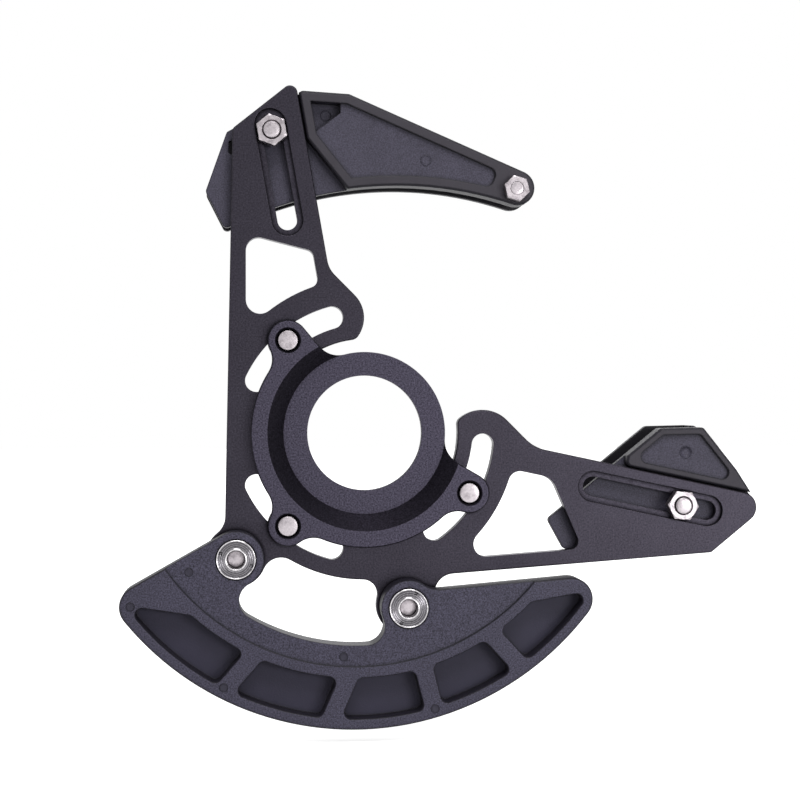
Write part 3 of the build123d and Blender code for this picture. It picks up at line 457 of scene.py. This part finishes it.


# Bash guard
# A thick arc moulded in black nylon, with pockets between ribs to save weight. Its face is finely
# grained and its pocket floors are smoother and carry painted shade. Its sides and edge lines carry
# painted shade, and the mould's ejector pins left round marks. Two screws hold it to the plate's lobes.
def moulded(name, contrast, grained_colour, smooth_and_shade_colour, smooth_low, smooth_high, edge_shade_colour):
    """Black moulding: grained in one colour, with the grain's contrast given, but smooth and in
    another colour between two depths; that colour is painted shade in the guard's pocket floors
    and the guides' channels, and the moulding's own on the guides' rims. Its sides carry painted
    shade, a line of painted shade in a colour of its own follows its edges, and its inner corners
    carry painted shade."""
    finish, tree, shader = new_finish(name, 0.0, 0.5)
    shader.inputs["Specular IOR Level"].default_value = 0.2
    grain = use_group(tree, fine_grain, Grain_size=0.00045, Contrast=contrast)
    clouds = use_group(tree, fine_grain, Grain_size=0.012, Contrast=0.4)
    edge = use_group(tree, soft_edge, Radius=0.0007)
    sides = use_group(tree, side_shade_mask)
    spot = tree.nodes.new("ShaderNodeTexCoord")
    axes = tree.nodes.new("ShaderNodeSeparateXYZ")
    tree.links.new(spot.outputs["Object"], axes.inputs[0])
    smooth = band(tree, axes.outputs["Y"], smooth_low, smooth_high, 0.00005)
    # Smooth band in a colour of its own, painted shade in pocket floors and channels.
    face = mix_colours(tree, smooth, grained_colour, smooth_and_shade_colour)
    # Painted shade on the moulding's sides.
    face = mix_colours(tree, sides.outputs["Sides"], face, moulding_side_shade_colour)
    # Painted shade along the moulding's edges.
    face = mix_colours(tree, edge.outputs["Edge"], face, edge_shade_colour)
    # Painted shade in the moulding's inner corners.
    corners = use_group(tree, painted_crevice_shade, Reach=0.0012, Strength=0.95)
    rough_share = math_node(tree, "SUBTRACT", 1.0, smooth)
    swing = math_node(tree, "SUBTRACT", grain.outputs["Shade"], 1.0)
    speckle = math_node(tree, "ADD", math_node(tree, "MULTIPLY", swing, rough_share), 1.0)
    for shade in (speckle, clouds.outputs["Shade"], corners.outputs["Shade"]):
        face = shaded(tree, face, shade)
    tree.links.new(face, shader.inputs["Base Color"])
    rough_face(tree, shader, grain, edge, 0.35)
    return finish


moulding_colour = (0.057, 0.053, 0.0805)
# Pocket floors: a smoother finish with painted shade.
pocket_shade_colour = (0.043, 0.0396, 0.0645)
# Painted shade on the mouldings' sides.
moulding_side_shade_colour = (0.0115, 0.0100, 0.0158)
# Painted shade along the mouldings' edges.
moulding_edge_shade_colour = (0.004, 0.0035, 0.006)
bash_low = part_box("bash_guard")[0].y
pocket_depth = 0.006
pocket_margin = 0.0003
pocket_low = bash_low + pocket_depth - pocket_margin
pocket_high = bash_low + pocket_depth + pocket_margin
bash_moulding = moulded(
    "bash_moulding",
    4.0,
    moulding_colour,
    pocket_shade_colour,
    pocket_low,
    pocket_high,
    moulding_edge_shade_colour,
)
dress(bash_moulding, "bash_guard")

bash_face = bash_low / millimetre
bash_step_height = 0.8
bash_step_face = bash_face + bash_step_height


def ejector_marks(name, places, face, radius):
    """Shallow round witness marks: a low bead round a disc that is a hair proud of the face."""
    rows = [(face - 0.015, 0.4 * radius, wide), (face - 0.02, 0.82 * radius, wide)]
    rows += [(face - 0.05, 0.88 * radius, wide), (face - 0.05, 0.95 * radius, wide)]
    rows += [(face + 0.05, radius, wide)]
    return turned_piece(name, places, rows, segments=48)


rim_mark_places = [(-70.2, -51.2), (20.6, -82.9), (-42.7, -75.5)]
web_mark_places = [(-53.0, -41.2), (-6.9, -67.0)]
bash_mark_radius = 1.4
rim_marks = ejector_marks("bash_rim_marks", rim_mark_places, bash_face, bash_mark_radius)
web_marks = ejector_marks("bash_web_marks", web_mark_places, bash_step_face, bash_mark_radius)
pin_colour = (0.038, 0.0352, 0.0525)
# Painted shade along the ejector marks' edges, close to their own colour.
pin_edge_shade_colour = (0.034, 0.0315, 0.047)
pin_marking = moulded("pin_marking", 1.0, pin_colour, pin_colour, bash_low, 0.0, pin_edge_shade_colour)
for marks in (rim_marks, web_marks):
    marks.data.materials.append(pin_marking)
    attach(marks, "backplate")


# Bash guard nuts and bolts
# Flanged barrel nuts of polished nickel-plated steel, let into the guard's bosses from the frame
# side. Button-head screws come through the plate from behind, and their ends show in the nuts.
# Polished nickel, with painted dark reflections in rings across the nuts' faces, graded by a tone on
# their corners.
polished_colour = (0.62, 0.60, 0.62)
dark_reflection_colour = (0.04, 0.037, 0.046)
nickel, nickel_tree, nickel_shader = new_finish("polished_nickel", 1.0, 0.18)
nickel_grain = use_group(nickel_tree, fine_grain, Grain_size=0.0006, Contrast=1.6)
nickel_edge = use_group(nickel_tree, soft_edge, Radius=0.0001)
# Painted shade in the nuts' inner corners.
nickel_corner_shade = use_group(nickel_tree, painted_crevice_shade, Reach=0.0006, Strength=1.1)
reflection_tone = nickel_tree.nodes.new("ShaderNodeAttribute")
reflection_tone.attribute_name = "reflection_tone"
# Painted dark reflection mixed in by each ring's tone.
nickel_face = mix_colours(nickel_tree, reflection_tone.outputs["Fac"], dark_reflection_colour, polished_colour)
for layer in (nickel_grain, nickel_corner_shade):
    nickel_face = shaded(nickel_tree, nickel_face, layer.outputs["Shade"])
nickel_tree.links.new(nickel_face, nickel_shader.inputs["Base Color"])
rough_face(nickel_tree, nickel_shader, nickel_grain, nickel_edge, 0.06)

boss_circle_radius = 54.2
boss_angles = (-136.1, -76.4)
boss_places = [place_at(boss_circle_radius, angle) for angle in boss_angles]
nut_low, nut_high = depths("bash_nuts")
groove_steps = np.arange(13)
groove_radii = np.linspace(3.7, 5.4, len(groove_steps))
groove_depths = nut_low + 0.22 + 0.03 * (groove_steps % 2)
# Tones of painted reflection on the fine grooves.
groove_reflection_tone = 0.08 + 0.3 * (groove_steps % 4 == 0)
# Each ring's depth, radius and tone of painted reflection.
nut_profile = [
    (nut_low + 0.6, 2.55, 0.5),
    (nut_low + 0.3, 2.66, 0.3),
    (nut_low + 0.06, 2.85, 0.9),
    (nut_low, 3.02, 1.0),
    (nut_low + 0.05, 3.2, 0.7),
    (nut_low + 0.22, 3.45, 0.1),
]
nut_profile += list(zip(groove_depths, groove_radii, groove_reflection_tone))
nut_profile += [
    (nut_low + 0.04, 5.56, 0.9),
    (nut_low, 5.68, 1.0),
    (nut_low + 0.08, 5.82, 1.0),
    (nut_low + 0.2, 5.85, 0.6),
    (nut_low + 1.4, 5.85, 0.6),
    (nut_low + 1.4, 3.5, 0.6),
    (nut_high - 0.3, 3.5, 0.6),
    (nut_high, 3.2, 0.6),
    (nut_high, 2.55, 0.6),
]
barrel_nut_rows = [(depth, radius, wide) for depth, radius, reflection_level in nut_profile]
barrel_nuts = turned_piece("barrel_nuts", boss_places, barrel_nut_rows, ring=True)


def paint_reflection_rings(piece, reflection_levels, copies, segments=144):
    """Stores each ring's tone of painted reflection on a turned piece's corners: 0 is a painted dark
    reflection and 1 bare bright nickel.
    """
    values = np.tile(np.repeat(np.array(reflection_levels, float), segments), copies)
    piece.data.attributes.new("reflection_tone", "FLOAT", "POINT").data.foreach_set("value", values)


def press_pins(piece, centres, size, depth, front):
    """Presses round blind holes into a face: corners nearer than a size to a centre, and in front
    of a limit, move in by the depth. All are in millimetres."""
    vertices = piece.data.vertices
    corners = np.empty(3 * len(vertices))
    vertices.foreach_get("co", corners)
    corners = corners.reshape(-1, 3)
    for x, z in centres:
        away = np.hypot(corners[:, 0] - x * millimetre, corners[:, 2] - z * millimetre)
        pressed = (away < size * millimetre) & (corners[:, 1] < front * millimetre)
        corners[pressed, 1] += depth * millimetre
    vertices.foreach_set("co", corners.reshape(-1))


pin_circle_radius = 4.95
pin_centres = []
for (boss_x, boss_z), turn in zip(boss_places, (158.0, 64.0)):
    for half_turn in (0.0, 180.0):
        pin_x, pin_z = place_at(pin_circle_radius, turn + half_turn)
        pin_centres.append((boss_x + pin_x, boss_z + pin_z))
paint_reflection_rings(barrel_nuts, [reflection_level for depth, radius, reflection_level in nut_profile], len(boss_places))
press_pins(barrel_nuts, pin_centres, 0.5, 0.6, nut_low + 0.4)
fit(barrel_nuts, nickel, "nickel_steel", "backplate", "bash_nuts")

bash_bolt_end, bash_bolt_top = depths("bash_bolts")
plate_back = depths("backplate_hub")[1]
bash_bolt_rows = bolt_stations(
    bash_bolt_end, plate_back, bash_bolt_top, shank=2.5, head=4.75, socket=3.0, blunt=0.95
)
bash_screws = turned_piece("bash_screws", boss_places, bash_bolt_rows)
fit(bash_screws, zinc, "zinc_steel", "backplate", "bash_bolts")


# Upper chain guide
# Two moulded nylon halves, clamped to the upper arm, with the chain's channel between them. The
# inner half has a sunk panel and a deep pocket beside the arm. The outer half closes the channel
# over its crest, and its inside is smooth and carries near-black painted shade.
panel_floor = 1.0
pocket_floor = 4.5
guide_colour = (0.059, 0.0545, 0.079)
rim_colour = (0.045, 0.0408, 0.051)
# Near-black painted shade inside the channel between the halves.
channel_shade_colour = (0.006, 0.0055, 0.008)
# Painted shade along the guides' ejector marks' edges, close to the guide's colour.
mark_edge_shade_colour = (0.055, 0.051, 0.074)
guide_contrast = 2.1
rim_depths = (-0.001, 0.0004)
channel_depths = (0.0142, 0.0148)
rim_face = (guide_colour, rim_colour, *rim_depths)
channel_shade_face = (guide_colour, channel_shade_colour, *channel_depths)
guide_moulding = moulded("guide_moulding", guide_contrast, *rim_face, moulding_edge_shade_colour)
cover_moulding = moulded("cover_moulding", guide_contrast, *channel_shade_face, moulding_edge_shade_colour)
mark_moulding = moulded("mark_moulding", guide_contrast, *rim_face, mark_edge_shade_colour)
dress(guide_moulding, "upper_guide_inner")
dress(cover_moulding, "upper_guide_outer")
upper_mark_radius = 1.8
panel_mark_place = (18.9, 83.5)
pocket_mark_place = (-11.7, 97.3)
panel_mark = ejector_marks("upper_panel_mark", [panel_mark_place], panel_floor, upper_mark_radius)
pocket_mark = ejector_marks("upper_pocket_mark", [pocket_mark_place], pocket_floor, upper_mark_radius)
for marks in (panel_mark, pocket_mark):
    marks.data.materials.append(mark_moulding)
    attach(marks, "upper_guide")


# Lower chain guide
# A smaller pair of the same mouldings, set on the rear arm, that feeds the chain to the chainring.
# It is clamped in that arm's slot.
dress(guide_moulding, "lower_guide_inner")
dress(cover_moulding, "lower_guide_outer")
lower_mark_radius = 2.1
lower_mark_place = (100.4, -6.2)
lower_mark = ejector_marks("lower_panel_mark", [lower_mark_place], panel_floor, lower_mark_radius)
lower_mark.data.materials.append(mark_moulding)
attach(lower_mark, "lower_guide")


# Guide fasteners
# Zinc-plated hexagon nuts ride in the slots' recesses, and screws from behind clamp each guide at
# the height it is set to. A smaller nut, screw and steel spacer hold the upper guide's tip.
def nut_rows(low, high, flats, hole, sink):
    """Stations of a hexagon nut, a ring in millimetres: a hole countersunk by the sink, faces, and
    corners that a cone takes off at both ends, where the round radius grows from the flats to the
    corners."""
    half = flats / 2.0
    corner = 1.16 * half
    fall = 0.35 * (corner - half)
    return [
        (low + sink, hole, wide),
        (low, hole + sink, wide),
        (low, half, half),
        (low + fall, corner, half),
        (high - fall, corner, half),
        (high, half, half),
        (high, hole + sink, wide),
        (high - sink, hole, wide),
    ]


nut_headings = {"upper": math.radians(-79.9), "lower": math.radians(-4.05)}
corner_to_flat = math.radians(30.0)
guide_back = depths("upper_guide_outer")[1]
for guide, heading in nut_headings.items():
    bolt_place = [middle(f"{guide}_clamp_bolt")]
    nut_span = depths(f"{guide}_clamp_nut")
    slot_nut_rows = nut_rows(*nut_span, flats=8.5, hole=2.55, sink=0.45)
    flat_heading = heading + corner_to_flat
    nut = turned_piece(f"{guide}_slot_nut", bolt_place, slot_nut_rows, turn=flat_heading, ring=True)
    fit(nut, zinc, "zinc_steel", f"{guide}_guide", f"{guide}_clamp_nut")
    bolt_end, bolt_top = depths(f"{guide}_clamp_bolt")
    washer_back = depths(f"{guide}_clamp_washer")[1]
    screw_rows = bolt_stations(
        bolt_end, washer_back, bolt_top, shank=2.5, head=4.75, socket=3.0, blunt=0.88
    )
    screw = turned_piece(f"{guide}_slot_screw", bolt_place, screw_rows)
    fit(screw, zinc, "zinc_steel", f"{guide}_guide", f"{guide}_clamp_bolt")
    dress(zinc, f"{guide}_clamp_washer")

tip_place = [middle("upper_tip_bolt")]
tip_nut_span = depths("upper_tip_nut")
tip_heading = math.radians(-15.75)
tip_rows = nut_rows(*tip_nut_span, flats=7.0, hole=2.05, sink=0.1)
tip_nut = turned_piece("tip_nut", tip_place, tip_rows, turn=tip_heading + corner_to_flat, ring=True)
fit(tip_nut, zinc, "zinc_steel", "upper_guide", "upper_tip_nut")
tip_end, tip_top = depths("upper_tip_bolt")
tip_screw_rows = bolt_stations(
    tip_end, guide_back, tip_top, shank=2.0, head=3.8, socket=2.5, blunt=0.97
)
tip_screw = turned_piece("tip_screw", tip_place, tip_screw_rows)
fit(tip_screw, zinc, "zinc_steel", "upper_guide", "upper_tip_bolt")
dress(zinc, "upper_tip_spacer")


# Studio
# A pale floor that the guard clears however it is turned, a white surround, soft lamps, and the
# camera that looks from the frame side, a little from the front of the bicycle.
scene = bpy.context.scene
scene.view_settings.view_transform = "Standard"

floor_half = 3.0
floor_height = cad_low.z - 0.004
floor_mesh = bpy.data.meshes.new("floor")
floor_corners = np.array([[-1, -1], [1, -1], [1, 1], [-1, 1]], float) * floor_half
floor_points = np.column_stack([floor_corners, np.full(4, floor_height)])
floor_mesh.from_pydata(floor_points.tolist(), [], [[0, 1, 2, 3]])
floor = bpy.data.objects.new("floor", floor_mesh)
scene.collection.objects.link(floor)
floor_finish, floor_tree, floor_shader = new_finish("pale_floor", 0.0, 0.9)
floor_shader.inputs["Specular IOR Level"].default_value = 0.0
floor_shader.inputs["Emission Color"].default_value = (1.0, 1.0, 1.0, 1.0)


def seen_directly(tree):
    """Value that is 1 for rays from the camera, off gloss and through glass, and 0 otherwise."""
    rays = tree.nodes.new("ShaderNodeLightPath")
    seen = math_node(tree, "MAXIMUM", rays.outputs["Is Camera Ray"], rays.outputs["Is Glossy Ray"])
    return math_node(tree, "MAXIMUM", seen, rays.outputs["Is Transmission Ray"])


floor_seen = seen_directly(floor_tree)
floor_colour = mix_colours(floor_tree, floor_seen, (0.2, 0.2, 0.2), (0.8, 0.8, 0.8))
floor_tree.links.new(floor_colour, floor_shader.inputs["Base Color"])
floor_place = floor_tree.nodes.new("ShaderNodeTexCoord")
floor_distance = floor_tree.nodes.new("ShaderNodeVectorMath")
floor_distance.operation = "LENGTH"
floor_tree.links.new(floor_place.outputs["Object"], floor_distance.inputs[0])
floor_fade = floor_tree.nodes.new("ShaderNodeMapRange")
floor_fade.inputs["From Min"].default_value = 0.25
floor_fade.inputs["From Max"].default_value = 1.0
floor_fade.inputs["To Min"].default_value = 0.68
floor_tree.links.new(floor_distance.outputs["Value"], floor_fade.inputs["Value"])
floor_glow = math_node(floor_tree, "MULTIPLY", floor_seen, floor_fade.outputs[0])
floor_tree.links.new(floor_glow, floor_shader.inputs["Emission Strength"])
floor_mesh.materials.append(floor_finish)

surround = bpy.data.worlds.new("white_surround")
surround.use_nodes = True
scene.world = surround
sky = surround.node_tree
backdrop = sky.nodes["Background"]
backdrop.inputs["Color"].default_value = (1.0, 1.0, 1.0, 1.0)
ambient = 0.4
sky_level = math_node(sky, "MULTIPLY", seen_directly(sky), 1.0 - ambient)
sky.links.new(math_node(sky, "ADD", sky_level, ambient), backdrop.inputs["Strength"])


def soft_lamp(name, place, aim, size, power):
    """Square area lamp at a place, turned to face a point."""
    light = bpy.data.lights.new(name, "AREA")
    light.size = size
    light.energy = power
    lamp = bpy.data.objects.new(name, light)
    lamp.location = place
    away = np.array(aim) - np.array(place)
    flat = math.hypot(away[0], away[1])
    lamp.rotation_euler = (math.atan2(flat, -away[2]), 0.0, math.atan2(away[1], away[0]) - math.pi / 2.0)
    scene.collection.objects.link(lamp)


soft_lamp("top_softbox", (0.1, -0.75, 1.25), (0.0, 0.0, 0.0), 0.9, 16.0)
soft_lamp("low_softbox", (0.6, -1.0, -0.1), (0.03, 0.0, 0.0), 0.5, 8.0)
soft_lamp("rear_softbox", (0.3, 1.2, 0.9), (0.0, 0.0, 0.0), 1.0, 8.0)

lens = bpy.data.cameras.new("camera")
lens.lens = 74.475
lens.sensor_width = 36.0
lens.clip_start = 0.01
camera = bpy.data.objects.new("camera", lens)
camera.location = (-0.03767, -0.50369, 0.01003)
camera.rotation_euler = (math.radians(90.0), 0.0, math.radians(-5.5))
scene.collection.objects.link(camera)
scene.camera = camera
